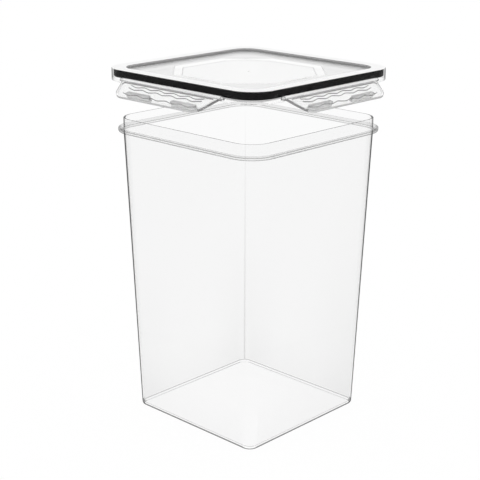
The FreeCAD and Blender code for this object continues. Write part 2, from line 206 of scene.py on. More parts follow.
@dataclass(frozen=True)
class ClearPlastic(Finish):
    """Styrene acrylonitrile from a polished mould: glassy, faintly scuffed, and greyer edge on, partly from
    its longer path and mostly by painted shade.

    The tints are those of a face seen square on, aslant and edge on, or a single one for every slant. The
    slants, from 0 for square on to 1 for edge on, say where one tint gives way to the next.
    """

    tints: tuple[str, ...]
    slants: tuple[float, float, float, float] = (0.4, 0.46, 0.6, 0.72)
    painted_shades: tuple[Shade, ...] = ()
    ior: float = STYRENE_IOR
    coat: float = 0.0
    clear_share: float = 1.0
    polish: tuple[float, float] = (0.0, 0.05)
    scuff_mm: float = 9.0

    def tint_with_painted_shade(self, tree: bpy.types.NodeTree) -> Any:
        """Adds the tint, with the painted shade that greys the plastic as it turns aslant.

        Args:
            tree: The shader's tree.

        Returns:
            The colour's socket, or the plain colour where it is the same at every slant.
        """
        if len(self.tints) == 1:
            return linear(self.tints[0])
        square_on, aslant, edge_on = self.tints
        # Painted shade: the tint greys as the face turns edge on, for the dark outlines of clear plastic.
        facing = add_node(tree, "ShaderNodeLayerWeight", {"Blend": 0.5}).outputs["Facing"]
        ramp = add_node(tree, "ShaderNodeValToRGB", {"Fac": facing})
        stops = ramp.color_ramp.elements
        for number, colour in enumerate((square_on, aslant, aslant, edge_on)):
            slant = self.slants[number]
            stop = stops[number] if number < len(stops) else stops.new(slant)
            stop.position = slant
            stop.color = linear(colour)
        return ramp.outputs["Color"]

    def shader(self, tree: bpy.types.NodeTree, place: bpy.types.NodeSocket) -> bpy.types.Node:
        """Adds clear plastic with its greys and with scuffs that dull it in places.

        Args:
            tree: The material's tree.
            place: The place on the piece.

        Returns:
            The shader's node.
        """
        colour = self.tint_with_painted_shade(tree)
        # Painted shade laid over the tint.
        for shade in self.painted_shades:
            colour = shade.over(tree, place, colour)
        scuff = add_node(tree, "ShaderNodeTexNoise", {
            "Vector": place, "Scale": 1 / (self.scuff_mm * MM), "Detail": 6.0, "Roughness": 0.65})
        polish = add_node(tree, "ShaderNodeMapRange", {
            "Value": scuff.outputs["Fac"], "From Min": 0.5, "From Max": 0.8,
            "To Min": self.polish[0], "To Max": self.polish[1]})
        return add_node(tree, "ShaderNodeBsdfPrincipled", {
            "Base Color": colour, "Roughness": polish.outputs["Result"], "IOR": self.ior,
            "Transmission Weight": self.clear_share, "Coat Weight": self.coat})


@dataclass(frozen=True)
class SatinRim(Finish):
    """The same plastic from a blasted mould: a fine satin that scatters light, painted near-opaque white as a
    highlight.
    """

    name: str = "Satin moulded rim"
    colour: str = "#FCFCFC"
    roughness: float = 0.45
    clear_share: float = 0.04
    grit_mm: float = 0.9
    grit_height_mm: float = 0.03

    def shader(self, tree: bpy.types.NodeTree, place: bpy.types.NodeSocket) -> bpy.types.Node:
        """Adds pale satin with a fine grit, drawn coarser than the real one so that it shows.

        Args:
            tree: The material's tree.
            place: The place on the piece.

        Returns:
            The shader's node.
        """
        grit = add_node(tree, "ShaderNodeTexNoise", {
            "Vector": place, "Scale": 1 / (self.grit_mm * MM), "Detail": 2.0})
        bump = add_node(tree, "ShaderNodeBump", {
            "Height": grit.outputs["Fac"], "Strength": 1.0, "Distance": self.grit_height_mm * MM})
        return add_node(tree, "ShaderNodeBsdfPrincipled", {
            "Base Color": linear(self.colour), "Roughness": self.roughness, "IOR": STYRENE_IOR,
            "Transmission Weight": self.clear_share, "Normal": bump.outputs["Normal"]})


@dataclass(frozen=True)
class Silicone(Finish):
    """Black silicone from a press mould: deep, satin, with a faint dusty bloom."""

    name: str = "Black silicone moulding"
    colour: str = "#060606"
    bloom: str = "#0E0E0F"
    roughness: tuple[float, float] = (0.42, 0.58)
    gloss: float = 0.1
    bloom_mm: float = 6.0
    skin_mm: float = 0.8
    skin_height_mm: float = 0.02

    def shader(self, tree: bpy.types.NodeTree, place: bpy.types.NodeSocket) -> bpy.types.Node:
        """Adds satin black with a bloom and a fine skin, drawn coarser than the real one so that it shows.

        Args:
            tree: The material's tree.
            place: The place on the piece.

        Returns:
            The shader's node.
        """
        bloom = add_node(tree, "ShaderNodeTexNoise", {
            "Vector": place, "Scale": 1 / (self.bloom_mm * MM), "Detail": 4.0})
        colour = add_node(tree, "ShaderNodeMix", {
            0: bloom.outputs["Fac"], 6: linear(self.colour), 7: linear(self.bloom)}, data_type="RGBA")
        satin = add_node(tree, "ShaderNodeMapRange", {
            "Value": bloom.outputs["Fac"], "To Min": self.roughness[0], "To Max": self.roughness[1]})
        skin = add_node(tree, "ShaderNodeTexNoise", {
            "Vector": place, "Scale": 1 / (self.skin_mm * MM), "Detail": 2.0})
        bump = add_node(tree, "ShaderNodeBump", {
            "Height": skin.outputs["Fac"], "Strength": 1.0, "Distance": self.skin_height_mm * MM})
        return add_node(tree, "ShaderNodeBsdfPrincipled", {
            "Base Color": colour.outputs[2], "Roughness": satin.outputs["Result"], "IOR": SILICONE_IOR,
            "Specular IOR Level": self.gloss, "Normal": bump.outputs["Normal"]})


class TubFinish(IntEnum):
    """The tub's finishes, by their places on its mesh."""

    WALL = 0
    BASE = 1
    SEAM = 2
    COLLAR = 3
    FOOT = 4
    INSIDE = 5
    RIM = 6
    CORNER = 7
    BEND = 8


class LidFinish(IntEnum):
    """The lid's finishes, by their places on its mesh."""

    CLEAR = 0
    RIM = 1
    PANEL = 2
    DISH = 3
    CREASE = 4
    RECESS = 5
    SLOPE = 6
    SKIRT = 7


class FlapFinish(IntEnum):
    """A flap's finishes, by their places on its mesh."""

    PLATE = 0
    BEAD = 1
    RIB = 2
    TIP = 3


# A thin wall hardly shifts what is seen through it, so its index is near that of air. A coat keeps its gloss.
THIN: dict[str, Any] = {"ior": 1.003, "coat": 0.3}
# The lid's panel is half milky, so that what lies below it shows only faintly.
MILKY: dict[str, Any] = {"polish": (0.1, 0.15), "clear_share": 0.45}
# The flaps are thin too, but their borders, beads and ribs bend the light enough to show.
STOUT: dict[str, Any] = {"ior": 1.3}
# Their beads and tips are duller, so that they read soft; the beads' grey is painted shade.
SATIN: dict[str, Any] = {**STOUT, "polish": (0.12, 0.2)}

TUB_FINISHES: dict[TubFinish, Finish] = {
    # Nearly clear, with painted shade that greys it a little near the foot
    TubFinish.WALL: ClearPlastic(
        "Clear moulded styrene wall", ("#FBFBFB", "#F7F7F7", "#F7F7F7"),
        painted_shades=(Shade("#F5F5F5", top_mm=45.0),), **THIN),
    # Lets the colour of what it stands on through
    TubFinish.BASE: ClearPlastic("Clear moulded styrene base", ("#FFFFFF",), **THIN),
    # Painted shade: a thin grey line where the floor meets the walls
    TubFinish.SEAM: ClearPlastic("Moulded styrene seam", ("#A5A5A5", "#A5A5A5", "#424242"), **THIN),
    # Painted shade: soft grey bands, for edges that lie behind each other
    TubFinish.COLLAR: ClearPlastic(
        "Clear moulded styrene collar", ("#EBEBEB", "#E5E5E5", "#A0A0A0"), **THIN),
    # Painted shade: a dark line along the base's near edges
    TubFinish.FOOT: ClearPlastic(
        "Satin moulded styrene foot", ("#FFFFFF", "#616161", "#121212"),
        slants=(0.32, 0.4, 0.56, 0.69), **THIN),
    # Like the walls, with painted shade in the low corners and a thin painted reflection line where two walls
    # meet
    TubFinish.INSIDE: ClearPlastic(
        "Clear moulded styrene inside", ("#FBFBFB", "#F7F7F7", "#F7F7F7"),
        painted_shades=(Shade("#F1F1F1", top_mm=150.0, reach_mm=60.0), Shade("#C0C0C0", top_mm=275.0, reach_mm=1.84)),
        **THIN),
    # Painted shade: a grey line round the mouth
    TubFinish.RIM: ClearPlastic("Clear moulded styrene rim", ("#FCFCFC", "#F7F7F7", "#323232"), **THIN),
    # Clear square on, and a painted dark outline where the corner turns away
    TubFinish.CORNER: ClearPlastic(
        "Clear moulded styrene corner", ("#FBFBFB", "#F7F7F7", "#3C3C3C"),
        slants=(0.4, 0.46, 0.55, 0.72), **THIN),
    # A softer painted outline, on the neck and where a wall starts to bend into a corner
    TubFinish.BEND: ClearPlastic("Clear moulded styrene neck", ("#FBFBFB", "#F7F7F7", "#8A8A8A"), **THIN),
}

LID_FINISHES: dict[LidFinish, Finish] = {
    # Brighter than the tub, so that the seal stands out
    LidFinish.CLEAR: ClearPlastic("Clear moulded styrene lid", ("#FFFFFF", "#F7F7F7", "#F2F2F2"), **THIN),
    # White, round the panel: a painted highlight on a satin finish
    LidFinish.RIM: SatinRim(),
    # Painted shade and highlight on one milky plastic: light grey round the paler dish, a white slope between
    # thin grey creases
    LidFinish.PANEL: ClearPlastic("Satin moulded styrene panel", ("#E4E4E4",), **MILKY),
    LidFinish.DISH: ClearPlastic("Satin moulded styrene dish", ("#FAFAFA",), **MILKY),
    LidFinish.CREASE: ClearPlastic("Satin moulded styrene crease", ("#CACACA",), **MILKY),
    LidFinish.SLOPE: ClearPlastic("Satin moulded styrene slope", ("#FFFFFF",), **MILKY),
    # Shows the seal behind it as a soft dark band
    LidFinish.RECESS: ClearPlastic(
        "Satin moulded styrene recess", ("#FFFFFF", "#F7F7F7", "#F2F2F2"),
        polish=(0.1, 0.2), clear_share=0.75),
    # Clear over the seal, and a painted grey outline at the lid's corners
    LidFinish.SKIRT: ClearPlastic(
        "Clear moulded styrene skirt", ("#FFFFFF", "#F7F7F7", "#7A7A7A"),
        slants=(0.4, 0.46, 0.56, 0.8), **THIN),
}

FLAP_FINISHES: dict[FlapFinish, Finish] = {
    # Bright and clear, with painted soft grey edges
    FlapFinish.PLATE: ClearPlastic(
        "Clear moulded styrene flap", ("#FDFDFD", "#FDFDFD", "#D2D2D2"), clear_share=0.85, **STOUT),
    # Painted shade: grey, seen through the plate
    FlapFinish.BEAD: ClearPlastic(
        "Satin moulded styrene bead", ("#C8C8C8", "#C8C8C8", "#B4B4B4"), clear_share=0.6, **SATIN),
    # Painted shade: thin darker lines along the zigzags
    FlapFinish.RIB: ClearPlastic(
        "Moulded styrene rib", ("#8C8C8C", "#8C8C8C", "#6E6E6E"), clear_share=0.85, **STOUT),
    # A pale satin line along the free edge
    FlapFinish.TIP: ClearPlastic("Satin moulded styrene tip", ("#F6F6F6",), clear_share=0.3, **SATIN),
}


def dressing(finishes: Mapping[IntEnum, Finish]) -> list[bpy.types.Material]:
    """Builds the finishes of a piece.

    Args:
        finishes: Each finish by its place on the piece's mesh.

    Returns:
        The materials in the order of their places.
    """
    return [finishes[place].material() for place in sorted(finishes)]


@dataclass(frozen=True)
class Bend:
    """A corner of a drawn line: its place, its rounding, and half the flat of the square that it sweeps."""

    across: float
    level: float
    radius: float = 0.0
    flat: float = 0.0


def rounded(bends: Sequence[Bend], closed: bool) -> list[Bend]:
    """Replaces each corner of a line by an arc of its own radius.

    Args:
        bends: The corners in order.
        closed: True where the last corner joins the first.

    Returns:
        The points of the rounded line, each with its corner's flat.
    """
    line: list[Bend] = []
    for number, bend in enumerate(bends):
        at_end = not closed and number in (0, len(bends) - 1)
        if bend.radius <= 0 or at_end:
            line.append(bend)
            continue
        corner = Vector((bend.across, bend.level))
        before = bends[number - 1]
        after = bends[(number + 1) % len(bends)]
        back = (Vector((before.across, before.level)) - corner).normalized()
        ahead = (Vector((after.across, after.level)) - corner).normalized()
        half = back.angle(ahead) / 2
        centre = corner + (back + ahead).normalized() * bend.radius / math.sin(half)
        start = corner + back * bend.radius / math.tan(half) - centre
        sweep = math.pi - 2 * half
        turn = math.copysign(sweep, back.y * ahead.x - back.x * ahead.y)
        steps = max(2, math.ceil(sweep / ARC_STEP))
        for step in range(steps + 1):
            angle = turn * step / steps
            point = centre + Matrix.Rotation(angle, 2) @ start
            line.append(Bend(point.x, point.y, 0.0, bend.flat))
    return line


def soft_step(start: Bend, end: Bend, come_from: float = -1.0) -> list[Bend]:
    """Rounds both corners of a step from one level to another.

    Args:
        start: The step's first corner.
        end: Its second corner, after which the line goes on across.
        come_from: The side that the line comes from before the step: minus one, or one where it doubles back.

    Returns:
        The points of the step, without the runs before and after it.
    """
    before = Bend(start.across + come_from, start.level)
    after = Bend(end.across + 1.0, end.level)
    return rounded([before, start, end, after], closed=False)[1:-1]


def circle(radius: float, count: int) -> list[tuple[float, float]]:
    """Gives evenly spaced points on a circle round the origin.

    Args:
        radius: The circle's radius.
        count: How many points there are.

    Returns:
        The two coordinates of each point.
    """
    turns = [math.tau * step / count for step in range(count)]
    return [(radius * math.cos(turn), radius * math.sin(turn)) for turn in turns]


def inset(bends: Sequence[Bend], distance: float) -> list[Bend]:
    """Moves every edge of a closed outline inwards.

    Args:
        bends: The outline's corners, anticlockwise.
        distance: How far each edge moves; a negative distance moves it outwards.

    Returns:
        The corners of the new outline, their roundings fitted to the move.
    """
    moved = []
    for number, bend in enumerate(bends):
        corner = Vector((bend.across, bend.level))
        before = bends[number - 1]
        after = bends[(number + 1) % len(bends)]
        arrive = (corner - Vector((before.across, before.level))).normalized()
        leave = (Vector((after.across, after.level)) - corner).normalized()
        turn = arrive.x * leave.y - arrive.y * leave.x
        lean = distance * (1 - arrive.dot(leave)) / turn
        point = corner - arrive * lean + Vector((-arrive.y, arrive.x)) * distance
        growth = distance if turn < 0 else -distance
        radius = max(0.0, bend.radius + growth) if bend.radius else 0.0
        moved.append(Bend(point.x, point.y, radius, bend.flat))
    return moved


def square_ring(shape: BMesh, bend: Bend) -> list[BMVert]:
    """Adds the points of a level square with rounded corners.

    Args:
        shape: The shape that gets the points.
        bend: How far out the square's sides lie, their level and half the length of their flats.

    Returns:
        The points, anticlockwise from above.
    """
    ring = []
    for corner in range(4):
        quarter = Matrix.Rotation(corner * math.pi / 2, 3, "Z")
        for step in range(CORNER_STEPS + 1):
            angle = -math.pi / 2 + step / CORNER_STEPS * math.pi / 2
            spread = Vector((math.cos(angle), math.sin(angle), 0)) * (bend.across - bend.flat)
            point = quarter @ (Vector((bend.flat, -bend.flat, 0)) + spread)
            ring.append(shape.verts.new(point + Vector((0, 0, bend.level))))
    return ring


def bridge(shape: BMesh, rings: Sequence[Sequence[BMVert]], closed: bool = False) -> None:
    """Joins rings of equal count by a skin of quads.

    Args:
        shape: The shape that gets the faces.
        rings: The rings in order.
        closed: True where the last ring joins the first.
    """
    pairs = list(zip(rings, rings[1:]))
    if closed:
        pairs.append((rings[-1], rings[0]))
    for lower, upper in pairs:
        for this in range(len(lower)):
            following = (this + 1) % len(lower)
            shape.faces.new((lower[this], lower[following], upper[following], upper[this]))


def fill(shape: BMesh, *loops: Sequence[BMVert]) -> None:
    """Fills a flat area that lies between loops.

    Args:
        shape: The shape that gets the faces.
        loops: The area's outer loop and the loops of its holes.
    """
    edges = []
    for loop in loops:
        for start, end in zip(loop, list(loop[1:]) + [loop[0]]):
            edges.append(shape.edges.get((start, end)) or shape.edges.new((start, end)))
    bmesh.ops.triangle_fill(shape, use_beauty=True, edges=edges)


def mesh_object(name: str, shape: BMesh) -> bpy.types.Object:
    """Puts a shape, in millimetres, into a new object.

    Args:
        name: The object's name.
        shape: The shape, which is freed.

    Returns:
        The object, with its faces pointing outwards.
    """
    bmesh.ops.remove_doubles(shape, verts=shape.verts, dist=WELD_MM)
    bmesh.ops.recalc_face_normals(shape, faces=shape.faces)
    mesh = bpy.data.meshes.new(name)
    shape.to_mesh(mesh)
    shape.free()
    piece = bpy.data.objects.new(name, mesh)
    bpy.context.scene.collection.objects.link(piece)
    return piece


def evaluated_mesh(piece: bpy.types.Object) -> bpy.types.Mesh:
    """Gives an object's mesh with its modifiers applied, and removes the object.

    Args:
        piece: The object to turn into a plain mesh.

    Returns:
        The new mesh.
    """
    graph = bpy.context.evaluated_depsgraph_get()
    mesh = bpy.data.meshes.new_from_object(piece.evaluated_get(graph), depsgraph=graph)
    bpy.data.objects.remove(piece)
    return mesh


def united(base: bpy.types.Object, added: bpy.types.Object) -> bpy.types.Mesh:
    """Joins two closed shapes into one skin.

    Args:
        base: The main shape, which is removed.
        added: The shape that is joined to it, which is removed.

    Returns:
        The mesh of both.
    """
    union = base.modifiers.new("Union", "BOOLEAN")
    union.operation = "UNION"
    union.solver = "EXACT"
    union.object = added
    mesh = evaluated_mesh(base)
    bpy.data.objects.remove(added)
    return mesh


def finished_piece(name: str, mesh: bpy.types.Mesh, place: Matrix, finishes: Sequence[bpy.types.Material]
                   ) -> bpy.types.Object:
    """Makes a visible piece from a mesh in millimetres.

    Args:
        name: The piece's name.
        mesh: Its mesh.
        place: Where it goes, in millimetres.
        finishes: Its materials.

    Returns:
        The piece at the origin, in metres, with smooth faces that stay flat beside their rounded edges.
    """
    mesh.transform(Matrix.Scale(MM, 4) @ place)
    mesh.name = name
    mesh.materials.clear()
    for finish in finishes:
        mesh.materials.append(finish)
    mesh.shade_smooth()
    mesh.set_sharp_from_angle(angle=CREASE)
    piece = bpy.data.objects.new(name, mesh)
    bpy.context.scene.collection.objects.link(piece)
    weighted = piece.modifiers.new("Flat faces stay flat", "WEIGHTED_NORMAL")
    weighted.keep_sharp = True
    return piece


@dataclass
class Tub:
    """The tub: tapered walls, a straight neck, a collar with a turned-up lip, and a flat base."""

    base_half: float = 75.0
    base_corner: float = 9.8
    neck_half: float = 86.8
    wall: float = 2.0
    floor: float = 2.6
    collar_drop: float = 13.0
    collar_thickness: float = 1.8
    lip_height: float = 4.2
    lip_thickness: float = 1.5
    foot_round: float = 3.2
    floor_round: float = 0.8
    collar_round: float = 1.9
    edge_round: float = 0.6
    root_round: float = 0.4
    rim_depth: float = 1.0
    # The middle of the base and of the floor is one flat patch of this share of their width.
    patch: float = 0.6
    # Shares of a face's direction that tell its finish: upwards, or square to a side.
    rim_turn: float = 0.3
    foot_turn: float = 0.05
    seam_turn: float = 0.08
    level_turn: float = 0.98
    wall_turn: float = 0.99
    corner_turn: float = 0.94
    high: Vector = field(default_factory=lambda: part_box("canister")[1] / MM)

    def profile(self) -> list[Bend]:
        """Draws the tub's cut edge.

        Returns:
            Its corners, from the base up the outside and down the inside.
        """
        height = self.high.z
        collar_half = self.high.x
        collar = height - self.collar_drop
        gutter = collar + self.collar_thickness
        lip = collar + self.lip_height
        mouth = self.neck_half - self.wall
        inside = self.base_half + (self.neck_half - self.base_half) * self.floor / collar - self.wall
        flat = self.base_half - self.base_corner
        corners = [
            (self.patch * self.base_half, 0.0, 0.0),
            (self.base_half, 0.0, self.foot_round),
            (self.neck_half, collar, self.root_round),
            (collar_half, collar, self.collar_round),
            (collar_half, lip, self.edge_round),
            (collar_half - self.lip_thickness, lip, self.edge_round),
            (collar_half - self.lip_thickness, gutter, self.root_round),
            (self.neck_half, gutter, self.root_round),
            (self.neck_half, height, self.edge_round),
            (mouth, height, self.edge_round),
            (mouth, collar, 0.0),
            (inside, self.floor, self.floor_round),
            (self.patch * inside, self.floor, 0.0),
        ]
        return [Bend(across, level, radius, min(flat, across)) for across, level, radius in corners]

    def finish_of(self, face: bpy.types.MeshPolygon) -> TubFinish:
        """Picks the finish of one face.

        Args:
            face: A face of the finished mesh.

        Returns:
            The finish of that part of the tub.
        """
        up = face.center.z / MM
        rise = face.normal.z
        if up > self.high.z - self.rim_depth and rise > self.rim_turn:
            return TubFinish.RIM
        flat = self.base_half - self.base_corner
        over = [max(abs(length) / MM - flat, 0.0) for length in face.center.xy]
        if math.hypot(*over) > self.neck_half - flat + NEAR:
            return TubFinish.COLLAR
        if rise < -self.foot_turn and up < self.foot_round:
            return TubFinish.BASE if rise < -self.level_turn else TubFinish.FOOT
        if rise > self.level_turn and up < 2 * self.floor:
            return TubFinish.BASE
        if rise > self.seam_turn and self.floor <= up < self.floor + self.floor_round:
            return TubFinish.SEAM
        if face.normal.xy.dot(face.center.xy) < 0:
            return TubFinish.INSIDE
        square = max(abs(face.normal.x), abs(face.normal.y))
        if square > self.wall_turn:
            return TubFinish.WALL
        below_collar = up < self.high.z - self.collar_drop
        return TubFinish.CORNER if below_collar and square < self.corner_turn else TubFinish.BEND

    def build(self, finishes: Sequence[bpy.types.Material]) -> bpy.types.Object:
        """Sweeps the cut edge round the square.

        Args:
            finishes: The tub's materials in the order of their places.

        Returns:
            The finished piece.
        """
        shape = bmesh.new()
        rings = [square_ring(shape, bend) for bend in rounded(self.profile(), closed=False)]
        bridge(shape, rings)
        for end in (rings[0], rings[-1]):
            shape.faces.new(end)
        source = mesh_object("tub_shape", shape)
        piece = finished_piece("canister_tub", evaluated_mesh(source), Matrix(), finishes)
        for face in piece.data.polygons:
            face.material_index = self.finish_of(face)
        return piece


@dataclass
class Seal:
    """The silicone ring in the lid's channel, with a leg down its outer side that is pressed on the skirt."""

    width_half: float = 92.55
    bore_half: float = 84.3
    leg_half: float = 89.2
    outer_flat: float = 69.5
    inner_flat: float = 65.2
    top: float = 4.45
    leg: float = 1.5
    edge_round: float = 0.5

    def build(self, level: float, finish: bpy.types.Material) -> bpy.types.Object:
        """Sweeps the ring's section round the square.

        Args:
            level: The sealing plane's height.
            finish: The black silicone.

        Returns:
            The finished piece.
        """
        section = [
            Bend(self.width_half, -self.leg, self.edge_round, self.outer_flat),
            Bend(self.width_half, self.top, self.edge_round, self.outer_flat),
            Bend(self.bore_half, self.top, self.edge_round, self.inner_flat),
            Bend(self.bore_half, 0.0, self.edge_round, self.inner_flat),
            Bend(self.leg_half, 0.0, self.edge_round, self.outer_flat),
            Bend(self.leg_half, -self.leg, self.edge_round, self.outer_flat),
        ]
        shape = bmesh.new()
        rings = [square_ring(shape, bend) for bend in rounded(section, closed=True)]
        bridge(shape, rings, closed=True)
        source = mesh_object("seal_shape", shape)
        place = Matrix.Translation((0, 0, level))
        return finished_piece("seal_ring", evaluated_mesh(source), place, [finish])


@dataclass
class Hinge:
    """The line that a flap turns on, by its distance from the middle and its level, with pins and ears."""

    out: float
    drop: float
    barrel: float = 2.0
    pin: float = 1.2
    pin_reach: float = 2.4
    bore: float = 1.25
    ear_radius: float = 2.6
    ear_root: float = 3.4
    ear_thickness: float = 3.2
    ear_gap: float = 0.4
    edge_round: float = 0.3
    turns: int = 28

    def ear(self) -> bpy.types.Object:
        """Makes one ear on the front side, at the middle of the hinge's line.

        Returns:
            An object whose shape is bored for a pin.
        """
        shape = bmesh.new()
        reach = self.ear_radius
        arc = [math.pi / 2 + math.pi * step / self.turns for step in range(self.turns + 1)]
        nose = [(-self.out + reach * math.cos(turn), self.drop + reach * math.sin(turn)) for turn in arc]
        root = -self.out + self.ear_root
        outer = nose + [(root, self.drop - reach), (root, self.drop + reach)]
        inner = [(-self.out + across, self.drop + up) for across, up in circle(self.bore, self.turns)]
        faces = []
        for end in (-self.ear_thickness / 2, self.ear_thickness / 2):
            loops = [[shape.verts.new((end, *point)) for point in loop] for loop in (outer, inner)]
            fill(shape, *loops)
            faces.append(loops)
        for left, right in zip(*faces):
            bridge(shape, [left, right])
        return mesh_object("ear_shape", shape)

    def shaft(self, half: float) -> bpy.types.Object:
        """Makes a flap's barrel with a pin at each end.

        Args:
            half: Half the barrel's length.

        Returns:
            An object that lies along the hinge's line, at the origin.
        """
        tip = half + self.ear_gap + self.pin_reach
        right = [Bend(self.barrel, half, self.edge_round), Bend(self.pin, half, 0.0),
                 Bend(self.pin, tip, self.edge_round), Bend(0.0, tip, 0.0)]
        left = [Bend(bend.across, -bend.level, bend.radius) for bend in reversed(right)]
        shape = bmesh.new()
        rings = []
        for bend in rounded(left + right, closed=False)[1:-1]:
            points = circle(bend.across, self.turns)
            rings.append([shape.verts.new((bend.level, *point)) for point in points])
        bridge(shape, rings)
        for end in (rings[0], rings[-1]):
            shape.faces.new(end)
        return mesh_object("shaft_shape", shape)


def ears_on_sides() -> bpy.types.GeometryNodeTree:
    """Builds the tree that sets a pair of ears on each side of the lid.

    Returns:
        A tree with inputs for one ear, half the space between a pair, the count of sides and the finish.
    """
    tree = bpy.data.node_groups.new("Ears on the sides", "GeometryNodeTree")
    sockets = (("Ear", "NodeSocketGeometry"), ("Half Spacing", "NodeSocketFloat"), ("Sides", "NodeSocketInt"),
               ("Finish", "NodeSocketMaterial"))
    for name, kind in sockets:
        tree.interface.new_socket(name, in_out="INPUT", socket_type=kind)
    tree.interface.new_socket("Ears", in_out="OUTPUT", socket_type="NodeSocketGeometry")
    given = add_node(tree, "NodeGroupInput").outputs
    pair = add_node(tree, "GeometryNodeJoinGeometry")
    for sign in (-1.0, 1.0):
        reach = add_node(tree, "ShaderNodeMath", {0: given["Half Spacing"], 1: sign}, operation="MULTIPLY")
        shift = add_node(tree, "ShaderNodeCombineXYZ", {"X": reach.outputs[0]})
        moved = add_node(tree, "GeometryNodeTransform", {
            "Geometry": given["Ear"], "Translation": shift.outputs[0]})
        tree.links.new(moved.outputs[0], pair.inputs[0])
    share = add_node(tree, "ShaderNodeMath", {0: math.tau, 1: given["Sides"]}, operation="DIVIDE")
    turn = add_node(tree, "ShaderNodeMath", {
        0: add_node(tree, "GeometryNodeInputIndex").outputs[0], 1: share.outputs[0]}, operation="MULTIPLY")
    euler = add_node(tree, "ShaderNodeCombineXYZ", {"Z": turn.outputs[0]})
    points = add_node(tree, "GeometryNodePoints", {"Count": given["Sides"]})
    spread = add_node(tree, "GeometryNodeInstanceOnPoints", {
        "Points": points.outputs[0], "Instance": pair.outputs[0],
        "Rotation": add_node(tree, "FunctionNodeEulerToRotation", {0: euler.outputs[0]}).outputs[0]})
    real = add_node(tree, "GeometryNodeRealizeInstances", {0: spread.outputs[0]})
    dressed = add_node(tree, "GeometryNodeSetMaterial", {
        "Geometry": real.outputs[0], "Material": given["Finish"]})
    add_node(tree, "NodeGroupOutput", {0: dressed.outputs[0]})
    return tree


